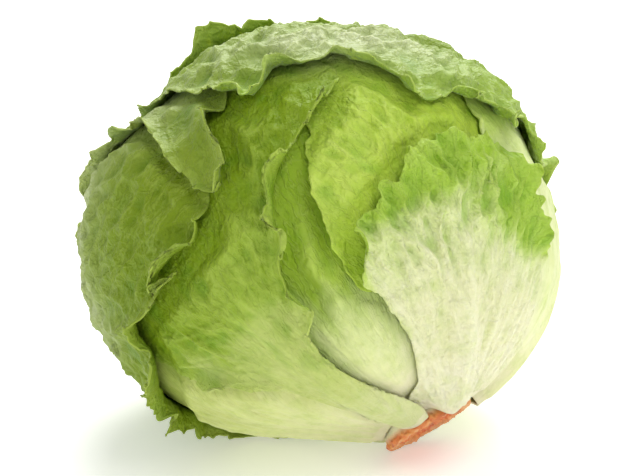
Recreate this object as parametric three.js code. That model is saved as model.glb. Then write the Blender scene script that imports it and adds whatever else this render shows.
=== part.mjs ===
// Head of iceberg lettuce, lying on its side with the cut stem low at the front right.
// Millimetres and degrees, +Z up, standing on z = 0.
// A direction from the head's centre is [polar, turn]: polar is the angle down from the crown,
// turn goes round the head's axis, with 0 at the front and 90 on the right.
import * as THREE from 'three';

// The head as a whole
const HALF_WIDTH = 79;
const HALF_LENGTH = 69;
const CENTRE_HEIGHT = 66.5;
const CROWN_LEAN = 41.5;
const CROWN_HEADING = 139;

// The leaves
const LEAF_THICKNESS = 0.9;
const LAYER_STEP = 2.4;
const DRAPE_START = 3.5;
const DRAPE_SPREAD = 13;
const MARGIN_BAND = 13;
const MARGIN_LIFT = 0.8;
const MARGIN_BARE_BASE = 142;
const MARGIN_NOTCH = 1.3;
const RIB_OVERSHOOT = 1.35;
const NET_SPACING = 7.6;
const RIM_SPACING = 5.6;
const RIM_BAND = 4;
const MARGIN_SAMPLES = 720;

// The cut stem and the core that it grows into
const STEM_RADIUS = 15.8;
const STEM_REACH = 74;
const STEM_SHOULDER = 70.5;
const CORE_TIP = 36;
const CORE_POCKET = 34;
const STEM_GAP = 0.9;
const STEM_SIDES = 32;

// The heart of young leaves
const HEART_DRAPE_START = 7;
const HEART_DRAPE_SPREAD = 20;
const HEART_CLEARANCE = 0.6;
const HEART_FOLDS = 5;
const HEART_FOLD_DEPTH = 2;
const HEART_FOLD_TWIST = 150;
const HEART_RINGS = 20;
const HEART_SPOKES = 34;

// Swells and hollows of the whole head: [polar, turn, spread, height]
const SWELLS = [
  [30, -25, 22, -3.5],
  [52, -52, 22, 2.5],
  [82, -70, 24, -2.5],
  [118, -80, 24, -4],
  [148, -88, 24, -6.5],
  [150, 106, 24, 4.5],
  [128, 102, 24, 4],
  [104, 94, 22, -2.5],
  [58, 78, 24, -4],
  [40, 58, 22, -2.5],
  [26, 20, 20, 2],
  [96, 11, 8, -3.5],
  [180, 0, 19, 4],
];

// The wrapper leaves from the innermost to the outermost. A margin is a list of directions on the
// leaf's edge. ribFoot is the turn at which the midrib leaves the stem.
const LEAVES = [
  {
    name: 'leaf_front_inner',
    colour: 0x9fc35c,
    centre: [112, 4],
    ribFoot: 4,
    margin: [
      [64, 5], [70, -22], [86, -31], [105, -33], [125, -32], [145, -30], [162, -40],
      [162, 48], [145, 40], [125, 40], [105, 38], [86, 34], [70, 28],
    ],
    waves: 9,
    ruffle: 3,
    rib: [2, 11],
  },
  {
    name: 'leaf_upper_inner',
    colour: 0x97c43f,
    centre: [108, 48],
    ribFoot: 50,
    margin: [
      [60, 55], [58, 40], [64, 28], [74, 21], [84, 17.5], [94, 12.5], [104, 10.5], [113, 10],
      [120, 14], [130, 20], [142, 22], [162, 5], [162, 95], [142, 82], [115, 84], [90, 84],
      [71, 76],
    ],
    waves: 7,
    ruffle: 2,
    rib: [2.5, 12],
  },
  {
    name: 'leaf_right',
    colour: 0xd3e6a4,
    centre: [112, 108],
    ribFoot: 108,
    margin: [
      [64, 106], [69, 78], [82, 64], [100, 58], [122, 58], [142, 62], [162, 60],
      [162, 152], [142, 148], [120, 152], [100, 152], [80, 146], [68, 132],
    ],
    waves: 8,
    ruffle: 3,
    rib: [3, 13],
  },
  {
    name: 'leaf_belly',
    colour: 0xd6df9e,
    centre: [116, -68],
    ribFoot: -66,
    margin: [
      [72, -72], [77, -50], [90, -36], [108, -30], [128, -20], [148, -14], [162, -22],
      [162, -112], [146, -114], [126, -112], [104, -110], [84, -98],
    ],
    waves: 8,
    ruffle: 3,
    rib: [3, 13],
  },
  {
    name: 'leaf_front_ribbed',
    colour: 0xc6dc8a,
    centre: [124, 40],
    ribFoot: 36,
    margin: [
      [94.5, 45], [96, 38], [100, 27], [104, 17], [109, 14.5], [114, 13], [123, 15], [135, 17],
      [150, 15], [162, -2], [163, 92], [152, 90], [141, 83], [131, 77], [121, 73], [112, 69],
      [104, 65], [99, 57],
    ],
    waves: 10,
    ruffle: 4,
    rib: [4.5, 17],
  },
  {
    name: 'leaf_front_left',
    colour: 0x9cbd48,
    centre: [98, -14],
    ribFoot: -4,
    margin: [
      [56, -15], [55, 5], [57, 20], [63, 31], [72, 33], [80, 23], [87, 12.5], [96, 4.8],
      [104, 0], [112, -1], [119, -5], [128, -5.5], [137, -1], [148, 6], [162, 25], [164, -20],
      [149, -17], [129, -25], [115, -38], [104, -47], [88, -49], [72, -40],
    ],
    waves: 12,
    ruffle: 4.5,
    rib: [3.5, 15],
  },
  {
    name: 'leaf_left',
    colour: 0x84a53a,
    centre: [90, -108],
    ribFoot: -132,
    margin: [
      [44, -90], [38, -55], [42, -30], [56, -12], [70, -6], [80, -5.5], [87, -8.5], [92, -15],
      [93, -26], [97, -37], [106, -45], [112, -60], [118.5, -82], [127, -95], [148, -100],
      [162, -96], [162, -178], [148, -176], [128, -170], [105, -164], [80, -158], [56, -130],
    ],
    waves: 14,
    ruffle: 5,
    rib: [3.5, 15],
  },
  {
    name: 'leaf_upper_left',
    colour: 0x8fae4a,
    centre: [6, 180],
    ribFoot: 180,
    margin: [
      [87, -1.5], [83, -7.5], [77, -9.2], [66, -12.5], [56, -16.5], [50, -25], [47, -45],
      [53, -68], [70, -92], [92, -118], [118, -142], [142, -156], [162, -166], [162, 164],
      [142, 164], [116, 160], [86, 156], [62, 138], [44, 108], [36, 68], [38, 35], [48, 15],
      [62, 6], [76, 1.5],
    ],
    waves: 14,
    ruffle: 3.5,
    rib: [3.5, 15],
  },
  {
    name: 'leaf_crown',
    colour: 0x8caa4c,
    centre: [54, 136],
    ribFoot: 146,
    margin: [
      [40, -25], [47, -9], [56, 1], [64, 6.5], [70, 11], [66.5, 20], [67.5, 30], [73, 37],
      [83, 41], [88, 50], [92, 57], [99, 64], [96, 74], [102, 84], [106, 94], [108, 106],
      [122, 118], [138, 128], [150, 134], [162, 136], [162, -172], [146, -178], [118, 178],
      [90, 178], [62, -178], [42, -150], [30, -90], [34, -40],
    ],
    waves: 16,
    ruffle: 4.5,
    rib: [3.5, 16],
  },
  {
    name: 'leaf_back',
    colour: 0x93b252,
    centre: [78, -172],
    ribFoot: -170,
    margin: [
      [27, 20], [30, -14], [38, -62], [52, -98], [74, -122], [98, -142], [122, -158],
      [144, -162], [162, -152], [162, 145], [144, 148], [122, 146], [98, 140], [74, 130],
      [52, 112], [34, 72],
    ],
    waves: 14,
    ruffle: 5,
    rib: [4, 17],
  },
];

const radians = THREE.MathUtils.degToRad;
const degrees = THREE.MathUtils.radToDeg;
const smooth = (value, from, to) => THREE.MathUtils.smoothstep(value, from, to);

// The core is a cone with its point at the head's centre, this many degrees off the axis, and
// every leaf's margin is drawn to a foot inside it, then cut where it meets the cone
const STEM_ANGLE = degrees(Math.atan2(STEM_RADIUS, STEM_REACH));
const FOOT_POLAR = 173;

function direction(polar, turn) {
  return new THREE.Vector3().setFromSphericalCoords(1, radians(polar), radians(turn));
}

// setFromSphericalCoords has its pole on Y and turn 0 on Z, so the head is built that way round:
// crown on +Y, front on +Z, right on +X. This turns it into its place on the surface.
function headPlacement() {
  const lean = radians(CROWN_LEAN);
  const heading = radians(CROWN_HEADING);
  const crown = new THREE.Vector3(
    Math.cos(heading) * Math.sin(lean),
    Math.sin(heading) * Math.sin(lean),
    Math.cos(lean),
  );
  const front = new THREE.Vector3(0, -1, 0);
  front.addScaledVector(crown, -front.dot(crown)).normalize();
  const right = new THREE.Vector3().crossVectors(crown, front);
  return new THREE.Matrix4().makeBasis(right, crown, front).setPosition(0, 0, CENTRE_HEIGHT);
}

const placement = headPlacement();
const down = new THREE.Vector3(0, 0, -1).transformDirection(placement.clone().invert());

// Distance from the centre to the head's surface
function bodyRadius(x) {
  const across = Math.hypot(x.x, x.z) / HALF_WIDTH;
  let radius = 1 / Math.hypot(across, x.y / HALF_LENGTH);
  for (const [polar, turn, spread, height] of SWELLS) {
    const away = degrees(x.angleTo(direction(polar, turn))) / spread;
    radius += height * Math.exp(-away * away);
  }
  return radius;
}

// A leaf's own coordinates: bearing round its centre, 0 towards the crown and positive to the
// right as seen from outside, and reach, the angle out from its centre
function leafFrame([polar, turn]) {
  const centre = direction(polar, turn);
  const up = direction(polar - 90, turn);
  const right = new THREE.Vector3().crossVectors(up, centre);
  return { centre, up, right };
}

function leafCoordinates(frame, x) {
  const reach = degrees(x.angleTo(frame.centre));
  const bearing = degrees(Math.atan2(x.dot(frame.right), x.dot(frame.up)));
  return { bearing, reach };
}

function leafDirection(frame, bearing, reach) {
  const out = radians(reach);
  const x = frame.centre.clone().multiplyScalar(Math.cos(out));
  x.addScaledVector(frame.up, Math.sin(out) * Math.cos(radians(bearing)));
  x.addScaledVector(frame.right, Math.sin(out) * Math.sin(radians(bearing)));
  return x;
}

// The margin's reach at any bearing, as a smooth closed curve through its points
function marginCurve(frame, margin) {
  const points = margin.map(([polar, turn]) => leafCoordinates(frame, direction(polar, turn)));
  points.sort((a, b) => a.bearing - b.bearing);
  const count = points.length;
  const at = (i) => {
    const turns = Math.floor(i / count);
    const point = points[i - turns * count];
    return { bearing: point.bearing + 360 * turns, reach: point.reach };
  };
  const slope = (i) => {
    const before = at(i - 1);
    const after = at(i + 1);
    return (after.reach - before.reach) / (after.bearing - before.bearing);
  };
  return (bearing) => {
    let i = -1;
    while (at(i + 1).bearing <= bearing) i += 1;
    const a = at(i);
    const b = at(i + 1);
    const span = b.bearing - a.bearing;
    const t = (bearing - a.bearing) / span;
    const bend = t * t * (3 - 2 * t);
    const out = t * (1 - t) * (1 - t) * slope(i) * span;
    const back = t * t * (1 - t) * slope(i + 1) * span;
    return a.reach + (b.reach - a.reach) * bend + out - back;
  };
}

// How far inside the margin a direction lies, in degrees and negative outside
function insideMargin(leaf, x) {
  const { bearing, reach } = leafCoordinates(leaf.frame, x);
  let nearest = Infinity;
  for (const point of leaf.rim) nearest = Math.min(nearest, x.distanceToSquared(point));
  return degrees(Math.sqrt(nearest)) * Math.sign(leaf.edge(bearing) - reach);
}

function cover(leaf, x, start, spread) {
  return smooth(insideMargin(leaf, x), -start - spread, -start);
}

// Waves of the margin, always outwards and fading towards the base
function ruffleHeight(leaf, x) {
  const { bearing, reach } = leafCoordinates(leaf.frame, x);
  const nearCentre = smooth(reach, 0, MARGIN_BAND);
  const band = nearCentre * smooth(MARGIN_BAND - insideMargin(leaf, x), 0, MARGIN_BAND);
  const bare = 1 - smooth(Math.abs(bearing), MARGIN_BARE_BASE - 20, MARGIN_BARE_BASE);
  const wave = 0.5 + 0.5 * Math.sin(2 * Math.PI * leaf.waves * leaf.partWay(bearing));
  return band * bare * (MARGIN_LIFT + leaf.ruffle * wave);
}

// Small cuts of the margin, none at the base
function marginNotch(leaf, bearing) {
  const bare = 1 - smooth(Math.abs(bearing), MARGIN_BARE_BASE - 20, MARGIN_BARE_BASE);
  return MARGIN_NOTCH * bare * Math.sin(radians(3 * leaf.waves * bearing));
}

// The midrib runs from its foot at the stem past the leaf's centre and thins out on the way
function ribHeight(leaf, x) {
  const [height, width] = leaf.rib;
  const foot = direction(180 - STEM_ANGLE, leaf.ribFoot);
  const { centre } = leaf.frame;
  const length = foot.angleTo(centre) * RIB_OVERSHOOT;
  const along = THREE.MathUtils.clamp(1 - x.angleTo(foot) / length, 0, 1);
  const side = new THREE.Vector3().crossVectors(foot, centre).normalize();
  const off = Math.abs(Math.asin(x.dot(side))) * HALF_WIDTH;
  const taper = 0.35 + 0.65 * along;
  const ahead = smooth(along, 0, 0.4);
  return height * taper * ahead * Math.exp(-((off / (0.5 * width * taper)) ** 2));
}

// Nothing reaches below the surface that the head lies on, and inner layers stay above outer ones
function aboveSurface(x, radius, depth) {
  const fall = x.dot(down);
  return fall > 0.1 ? Math.min(radius, (CENTRE_HEIGHT - depth) / fall) : radius;
}

function leafRadius(leaves, index, x) {
  let layers = 0;
  let open = 1;
  for (const outer of leaves.slice(index + 1)) {
    const covered = cover(outer, x, DRAPE_START, DRAPE_SPREAD);
    layers += covered;
    open *= 1 - covered;
  }
  const leaf = leaves[index];
  const depth = LAYER_STEP * layers;
  const relief = open * (ribHeight(leaf, x) + ruffleHeight(leaf, x));
  return aboveSurface(x, bodyRadius(x) - depth + relief, depth);
}

// Reach of the leaf at a bearing, ending at the stem where the base meets it
function edgeAtStem(leaf, bearing) {
  const poleReach = 180 - leaf.centre[0];
  const clear = radians(STEM_ANGLE + STEM_GAP);
  const aside = Math.sin(radians(poleReach)) * Math.sin(radians(bearing));
  const reach = leaf.edge(bearing);
  if (Math.cos(radians(bearing)) > 0 || Math.abs(aside) >= Math.sin(clear)) return reach;
  const nearest = Math.atan2(-Math.cos(radians(bearing)) * Math.sin(radians(poleReach)),
    Math.cos(radians(poleReach)));
  const half = Math.acos(Math.cos(clear) / Math.sqrt(1 - aside * aside));
  return Math.min(reach, degrees(nearest - half));
}

// Walks round the margin: the part of the way done at a bearing, and the bearing at a part
function marginWalk(leaf) {
  const bearings = Array.from({ length: MARGIN_SAMPLES + 1 }, (_, i) => (
    (360 * i) / MARGIN_SAMPLES - 180));
  const points = bearings.map((bearing) => (
    leafDirection(leaf.frame, bearing, edgeAtStem(leaf, bearing))));
  const way = [0];
  for (let i = 1; i < points.length; i += 1) {
    way.push(way[i - 1] + degrees(points[i].distanceTo(points[i - 1])));
  }
  const total = way.at(-1);
  const partWay = (bearing) => {
    const place = ((bearing + 180) / 360) * MARGIN_SAMPLES;
    const i = Math.min(Math.floor(place), MARGIN_SAMPLES - 1);
    return THREE.MathUtils.lerp(way[i], way[i + 1], place - i) / total;
  };
  const bearingAt = (part) => {
    const i = Math.max(way.findIndex((length) => length > part * total), 1);
    const within = (part * total - way[i - 1]) / (way[i] - way[i - 1]);
    return THREE.MathUtils.lerp(bearings[i - 1], bearings[i], within);
  };
  const rimCount = Math.round(total / RIM_SPACING);
  const rim = Array.from({ length: 3 * rimCount }, (_, i) => {
    const bearing = bearingAt(i / (3 * rimCount));
    return leafDirection(leaf.frame, bearing, leaf.edge(bearing));
  });
  return { partWay, bearingAt, rimCount, rim };
}

// Rings from the margin to the centre, each with as many points as it needs
function leafRings(leaf) {
  const reaches = leaf.rim.map((x) => leafCoordinates(leaf.frame, x).reach);
  const furthest = Math.max(...reaches);
  const rings = [{ part: 1, count: leaf.rimCount }];
  const steps = Math.ceil((furthest - RIM_BAND) / NET_SPACING);
  for (let i = steps; i >= 1; i -= 1) {
    const part = (i / steps) * (1 - RIM_BAND / furthest);
    const count = Math.round((part * leaf.rimCount * RIM_SPACING) / NET_SPACING);
    rings.push({ part, count: Math.max(6, count) });
  }
  return rings;
}

// Triangles between two rings of any counts that start at the same bearing
function stitchRings(outerStart, outerCount, innerStart, innerCount) {
  const faces = [];
  let outer = 0;
  let inner = 0;
  while (outer < outerCount || inner < innerCount) {
    const a = outerStart + (outer % outerCount);
    const b = innerStart + (inner % innerCount);
    const outerIsNext = (outer + 1) * innerCount <= (inner + 1) * outerCount;
    if (inner >= innerCount || (outer < outerCount && outerIsNext)) {
      outer += 1;
      faces.push([a, b, outerStart + (outer % outerCount)]);
    } else {
      inner += 1;
      faces.push([a, b, innerStart + (inner % innerCount)]);
    }
  }
  return faces;
}

function bufferGeometry(points, faces) {
  const geometry = new THREE.BufferGeometry();
  const positions = points.flatMap((point) => point.toArray());
  geometry.setAttribute('position', new THREE.Float32BufferAttribute(positions, 3));
  geometry.setIndex(faces.flat());
  geometry.computeVertexNormals();
  return geometry;
}

// One closed blade: the same net of triangles on both faces, joined by a rim
function leafGeometry(leaves, index) {
  const leaf = leaves[index];
  const rings = leafRings(leaf);
  const directions = [];
  const faces = [];
  let start = 0;
  for (const [i, { part, count }] of rings.entries()) {
    if (i > 0) faces.push(...stitchRings(start - rings[i - 1].count, rings[i - 1].count, start, count));
    for (let k = 0; k < count; k += 1) {
      const bearing = leaf.bearingAt(k / count);
      const notch = part === 1 ? marginNotch(leaf, bearing) : 0;
      const reach = part * edgeAtStem(leaf, bearing) + notch;
      directions.push(leafDirection(leaf.frame, bearing, reach));
    }
    start += count;
  }
  const last = rings.at(-1).count;
  directions.push(leaf.frame.centre.clone());
  for (let k = 0; k < last; k += 1) {
    faces.push([start - last + k, start, start - last + ((k + 1) % last)]);
  }
  const outer = directions.map((x) => x.clone().multiplyScalar(leafRadius(leaves, index, x)));
  const inner = outer.map((point) => point.clone().setLength(point.length() - LEAF_THICKNESS));
  const shift = outer.length;
  const back = faces.map(([a, b, c]) => [a + shift, c + shift, b + shift]);
  const rim = [];
  for (let k = 0; k < rings[0].count; k += 1) {
    const next = (k + 1) % rings[0].count;
    rim.push([k, next, k + shift], [next, next + shift, k + shift]);
  }
  return bufferGeometry([...outer, ...inner], [...faces, ...back, ...rim]);
}

// Rings of points from the crown down to the stem and into a pocket for the core
function heartGeometry(leaves) {
  const pocketPolar = 180 - STEM_ANGLE - STEM_GAP;
  const points = [];
  const faces = [];
  const radiusAt = (x, polar, turn) => {
    let layers = 0;
    for (const leaf of leaves) layers += cover(leaf, x, HEART_DRAPE_START, HEART_DRAPE_SPREAD);
    const fold = (((turn / 360) * HEART_FOLDS + polar / HEART_FOLD_TWIST) % 1 + 1) % 1;
    const edge = smooth(fold, 0, 0.75) * (1 - smooth(fold, 0.8, 1));
    const ends = smooth(Math.sin(radians(polar)), 0.1, 0.5);
    const depth = LAYER_STEP * layers + HEART_CLEARANCE + HEART_FOLD_DEPTH * (1 - edge * ends);
    return aboveSurface(x, bodyRadius(x) - depth, depth);
  };
  const addRing = (polar, fixedRadius) => {
    for (let k = 0; k < HEART_SPOKES; k += 1) {
      const turn = (360 * k) / HEART_SPOKES;
      const x = direction(polar, turn);
      points.push(x.clone().multiplyScalar(fixedRadius ?? radiusAt(x, polar, turn)));
    }
  };
  const crown = direction(0, 0);
  points.push(crown.clone().multiplyScalar(radiusAt(crown, 0, 0)));
  for (let i = 1; i <= HEART_RINGS; i += 1) addRing((pocketPolar * i) / HEART_RINGS);
  addRing(pocketPolar, CORE_POCKET);
  points.push(direction(180, 0).multiplyScalar(CORE_POCKET));
  const ringStart = (i) => 1 + i * HEART_SPOKES;
  for (let k = 0; k < HEART_SPOKES; k += 1) {
    const next = (k + 1) % HEART_SPOKES;
    faces.push([0, ringStart(0) + k, ringStart(0) + next]);
    faces.push([ringStart(HEART_RINGS) + k, points.length - 1, ringStart(HEART_RINGS) + next]);
  }
  for (let i = 0; i < HEART_RINGS; i += 1) {
    faces.push(...stitchRings(ringStart(i), HEART_SPOKES, ringStart(i + 1), HEART_SPOKES));
  }
  return bufferGeometry(points, faces);
}

// A cone of core inside the head, and the butt with its uneven cut face outside
function stemGeometry() {
  const slope = Math.tan(radians(STEM_ANGLE));
  const profile = [
    [0, -CORE_TIP],
    [CORE_TIP * slope * 0.7, -CORE_TIP - 1],
    [(CORE_TIP + 5) * slope, -CORE_TIP - 5],
    [STEM_SHOULDER * slope, -STEM_SHOULDER],
    [STEM_RADIUS - 0.3, -STEM_REACH + 1.2],
    [STEM_RADIUS - 1.6, -STEM_REACH],
    [STEM_RADIUS * 0.62, -STEM_REACH + 0.9],
    [STEM_RADIUS * 0.3, -STEM_REACH + 0.5],
    [0, -STEM_REACH + 1],
  ].map(([radius, height]) => new THREE.Vector2(radius, height)).reverse();
  return new THREE.LatheGeometry(profile, STEM_SIDES);
}

function addMesh(head, name, geometry, colour, roughness) {
  const material = new THREE.MeshStandardMaterial({ color: colour, roughness, metalness: 0 });
  const mesh = new THREE.Mesh(geometry, material);
  mesh.name = name;
  head.add(mesh);
}

const leaves = LEAVES.map((leaf) => {
  const frame = leafFrame(leaf.centre);
  const edge = marginCurve(frame, [...leaf.margin, [FOOT_POLAR, leaf.ribFoot]]);
  return { ...leaf, frame, edge, ...marginWalk({ ...leaf, frame, edge }) };
});

const head = new THREE.Group();
head.applyMatrix4(placement);
addMesh(head, 'stem', stemGeometry(), 0xc98a55, 0.7);
addMesh(head, 'heart', heartGeometry(leaves), 0xdfe8b0, 0.55);
for (const [index, leaf] of leaves.entries()) {
  addMesh(head, leaf.name, leafGeometry(leaves, index), leaf.colour, 0.5);
}

// The origin is on the surface, under the middle of the head's box
const lettuce = new THREE.Group();
lettuce.add(head);
lettuce.updateMatrixWorld(true);
const box = new THREE.Box3().setFromObject(lettuce, true);
const middle = box.getCenter(new THREE.Vector3());
head.position.x -= middle.x;
head.position.y -= middle.y;

export default lettuce;
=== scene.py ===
import math

import bpy
import numpy as np
from mathutils import Matrix


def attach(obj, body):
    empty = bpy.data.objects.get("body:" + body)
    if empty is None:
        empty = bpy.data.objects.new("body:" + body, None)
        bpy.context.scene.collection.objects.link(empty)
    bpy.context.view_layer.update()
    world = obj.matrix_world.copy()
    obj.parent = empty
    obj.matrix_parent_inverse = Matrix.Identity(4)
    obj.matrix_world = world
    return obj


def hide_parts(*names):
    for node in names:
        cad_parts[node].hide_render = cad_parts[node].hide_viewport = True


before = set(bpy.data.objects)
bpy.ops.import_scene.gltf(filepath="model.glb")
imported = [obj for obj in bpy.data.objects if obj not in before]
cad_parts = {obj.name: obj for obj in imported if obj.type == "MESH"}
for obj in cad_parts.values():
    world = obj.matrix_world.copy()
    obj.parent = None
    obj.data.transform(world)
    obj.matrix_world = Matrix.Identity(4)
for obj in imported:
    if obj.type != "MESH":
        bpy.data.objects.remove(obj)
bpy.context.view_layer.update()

# A head of iceberg lettuce on its side. Lengths are in millimetres until a mesh is made, and a
# direction from the head's centre is [polar, turn] in degrees: polar down from the crown, turn
# round the head's axis, 0 at the front and 90 on the right.
MM = 0.001
MM_PER_DEGREE = 1.33

# The head, as its solids have it
HALF_WIDTH, HALF_LENGTH, CENTRE_HEIGHT = 79.0, 69.0, 66.5
CROWN_LEAN, CROWN_HEADING = 41.5, 139.0
STEM_RADIUS, STEM_REACH, CORE_TIP, STEM_GAP = 15.8, 74.0, 36.0, 0.9
STEM_ANGLE = math.degrees(math.atan2(STEM_RADIUS, STEM_REACH))
FOOT_POLAR = 173.0
SWELLS = [
    (30, -25, 22, -3.5), (52, -52, 22, 2.5), (82, -70, 24, -2.5), (118, -80, 24, -4),
    (148, -88, 24, -6.5), (150, 106, 24, 4.5), (128, 102, 24, 4), (104, 94, 22, -2.5),
    (58, 78, 24, -4), (40, 58, 22, -2.5), (26, 20, 20, 2), (96, 11, 8, -3.5), (180, 0, 19, 4),
]
# Two low swellings over the ribs at the front that only this surface has
FRONT_SWELLS = [(138, 4, 13, 2.0), (124, 2, 9, 0.8)]
MEAN_RADIUS = 76.0

# How the layers lie on each other. The step between two is LAYER_STEP, and less at the stem.
LAYER_STEP, STEP_AT_STEM, STEP_GROWS = 1.1, 0.5, (25, 60)
DRAPE_START, DRAPE_SPREAD = 0.8, 4.5
HEART_DRAPE_START, HEART_DRAPE_SPREAD, HEART_DEPTH, HEART_POCKET = 7, 20, 1.2, 34.0
BLADE, BLADE_GAIN, FLOOR_GAP = 0.5, 0.5, 0.05
RIB_OVERSHOOT = 1.35

# The samples of a margin and of its rim, and the most directions compared at once
MARGIN_SAMPLES, RIM_POINTS, BATCH = 1441, 700, 8000
NEAR_MARGIN = 35


def smooth(value, low, high):
    t = np.clip((value - low) / (high - low), 0, 1)
    return t * t * (3 - 2 * t)


def unit(v):
    return v / np.maximum(np.linalg.norm(v, axis=-1, keepdims=True), 1e-12)


def direction(polar, turn):
    p, t = np.radians(polar), np.radians(turn)
    return np.stack([np.sin(p) * np.sin(t), np.cos(p) + 0 * t, np.sin(p) * np.cos(t)], -1)


def angle_to(x, d):
    return np.degrees(np.arccos(np.clip(x @ d, -1, 1)))


def near(x, polar, turn, spread):
    """1 at a spot, falling off over some degrees round it."""
    return np.exp(-(angle_to(x, direction(polar, turn)) / spread) ** 2)


# The head's axes in the world, and its centre from the tip of the core
lean, heading = math.radians(CROWN_LEAN), math.radians(CROWN_HEADING)
crown = np.array([math.cos(heading) * math.sin(lean), math.sin(heading) * math.sin(lean),
                  math.cos(lean)])
viewer = np.array([0, -1.0, 0])
front = unit(viewer - viewer @ crown * crown)
HEAD_AXES = np.stack([np.cross(crown, front), crown, front])
stem_points = np.array([v.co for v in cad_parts["stem"].data.vertices]) / MM
HEAD_CENTRE = stem_points[(stem_points @ crown).argmax()] + CORE_TIP * crown
DOWN = HEAD_AXES @ np.array([0, 0, -1.0])


class Noise:
    """Gradient noise in three dimensions, about -1 to 1."""

    def __init__(self, seed):
        draw = np.random.default_rng(seed)
        self.order = np.tile(draw.permutation(256), 3)
        self.slopes = unit(draw.normal(size=(256, 3)))

    def __call__(self, p, octaves=1, gain=0.5):
        total, size = 0.0, 1.0
        for _ in range(octaves):
            total = total + size * self.once(p)
            p, size = p * 2.03 + 7.1, size * gain
        return total

    def once(self, p):
        cell = np.floor(p).astype(int)
        f = p - cell
        ease = f ** 3 * (f * (6 * f - 15) + 10)
        cell = cell & 255
        total = 0.0
        for corner in np.ndindex(2, 2, 2):
            at = [(cell[:, k] + corner[k]) & 255 for k in range(3)]
            slope = self.slopes[self.order[self.order[self.order[at[0]] + at[1]] + at[2]]]
            share = np.prod(np.where(corner, ease, 1 - ease), axis=1)
            total = total + share * (slope * (f - corner)).sum(1)
        return 1.5 * total


def along_noise(seed, t, waves, octaves=2):
    """Noise that closes on itself as t goes from 0 to 1."""
    turn = 2 * math.pi * t
    r = waves / (2 * math.pi)
    return Noise(seed)(np.stack([r * np.cos(turn), r * np.sin(turn), 0 * t + 3.3], -1), octaves)


def body_radius(x):
    across = np.hypot(x[:, 0], x[:, 2]) / HALF_WIDTH
    radius = 1 / np.hypot(across, x[:, 1] / HALF_LENGTH)
    for polar, turn, spread, height in SWELLS + FRONT_SWELLS:
        radius = radius + height * near(x, polar, turn, spread)
    return radius


def above_surface(x, radius, depth):
    """The radius, cut where it would pass the surface that the head lies on."""
    least = 0.1
    fall = x @ DOWN
    flat = (CENTRE_HEIGHT - depth) / np.maximum(fall, least)
    return np.where(fall > least, np.minimum(radius, flat), radius)


class Outline:
    """A leaf's own coordinates, bearing round its centre and reach out from it, and its margin."""

    def __init__(self, centre, margin, rib_foot):
        self.pole_reach = 180 - centre[0]
        self.centre = direction(*centre)
        self.up = direction(centre[0] - 90, centre[1])
        self.right = np.cross(self.up, self.centre)
        points = np.array([direction(*p) for p in [*margin, (FOOT_POLAR, rib_foot)]])
        bearing, reach = self.coordinates(points)
        order = bearing.argsort()
        b, r = bearing[order], reach[order]
        self.b = np.concatenate([b[-3:] - 360, b, b[:3] + 360])
        self.r = np.concatenate([r[-3:], r, r[:3]])
        self.slope = np.gradient(self.r)
        self.slope[1:-1] = (self.r[2:] - self.r[:-2]) / (self.b[2:] - self.b[:-2])
        samples = np.linspace(-180, 180, MARGIN_SAMPLES)
        line = self.place(samples, self.at_stem(samples))
        steps = np.linalg.norm(np.diff(line, axis=0), axis=1)
        self.way = np.concatenate([[0], np.cumsum(steps)])
        self.length = np.degrees(self.way[-1])
        self.way /= self.way[-1]
        self.samples = samples
        self.rim_t = np.arange(RIM_POINTS) / RIM_POINTS
        b = self.bearing_at(self.rim_t)
        self.rim = self.place(b, self.edge(b))

    def coordinates(self, x):
        reach = angle_to(x, self.centre)
        return np.degrees(np.arctan2(x @ self.right, x @ self.up)), reach

    def place(self, bearing, reach):
        b, r = np.radians(bearing)[:, None], np.radians(reach)[:, None]
        return np.cos(r) * self.centre + np.sin(r) * (np.cos(b) * self.up + np.sin(b) * self.right)

    def edge(self, bearing):
        i = np.clip(np.searchsorted(self.b, bearing, side="right") - 1, 0, len(self.b) - 2)
        span = self.b[i + 1] - self.b[i]
        t = (bearing - self.b[i]) / span
        bend = t * t * (3 - 2 * t)
        out = t * (1 - t) ** 2 * self.slope[i] * span
        back = t * t * (1 - t) * self.slope[i + 1] * span
        return self.r[i] + (self.r[i + 1] - self.r[i]) * bend + out - back

    def at_stem(self, bearing):
        """The margin's reach, cut off where it meets the stem."""
        clear, pole = math.radians(STEM_ANGLE + STEM_GAP), math.radians(self.pole_reach)
        b, reach = np.radians(bearing), self.edge(bearing)
        aside = math.sin(pole) * np.sin(b)
        nearest = np.arctan2(-np.cos(b) * math.sin(pole), math.cos(pole))
        ratio = math.cos(clear) / np.sqrt(np.maximum(1 - aside * aside, 1e-9))
        half = np.arccos(np.clip(ratio, -1, 1))
        cut = np.minimum(reach, np.degrees(nearest - half))
        return np.where((np.cos(b) > 0) | (np.abs(aside) >= math.sin(clear)), reach, cut)

    def bearing_at(self, t):
        return np.interp(t, self.way, self.samples)

    def cover(self, x, start, spread):
        """1 under the leaf, falling to 0 within some degrees outside its margin."""
        bearing, reach = self.coordinates(x)
        ahead = self.edge(bearing) - reach
        close = np.abs(ahead) < NEAR_MARGIN
        share = (ahead > 0).astype(float)
        inwards = nearest_angle(x[close], self.rim)[0] * np.sign(ahead[close])
        share[close] = smooth(inwards, -start - spread, -start)
        return share


def nearest_angle(x, points):
    """Angle in degrees to the nearest of some directions, and which one it is."""
    best, which = np.empty(len(x)), np.empty(len(x), int)
    for i in range(0, len(x), BATCH):
        dots = x[i:i + BATCH] @ points.T
        which[i:i + BATCH] = dots.argmax(1)
        best[i:i + BATCH] = dots.max(1)
    return np.degrees(np.sqrt(np.maximum(2 - 2 * best, 0))), which


CREAM, IVORY = (0.86, 0.83, 0.55), (0.80, 0.80, 0.45)
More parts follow.
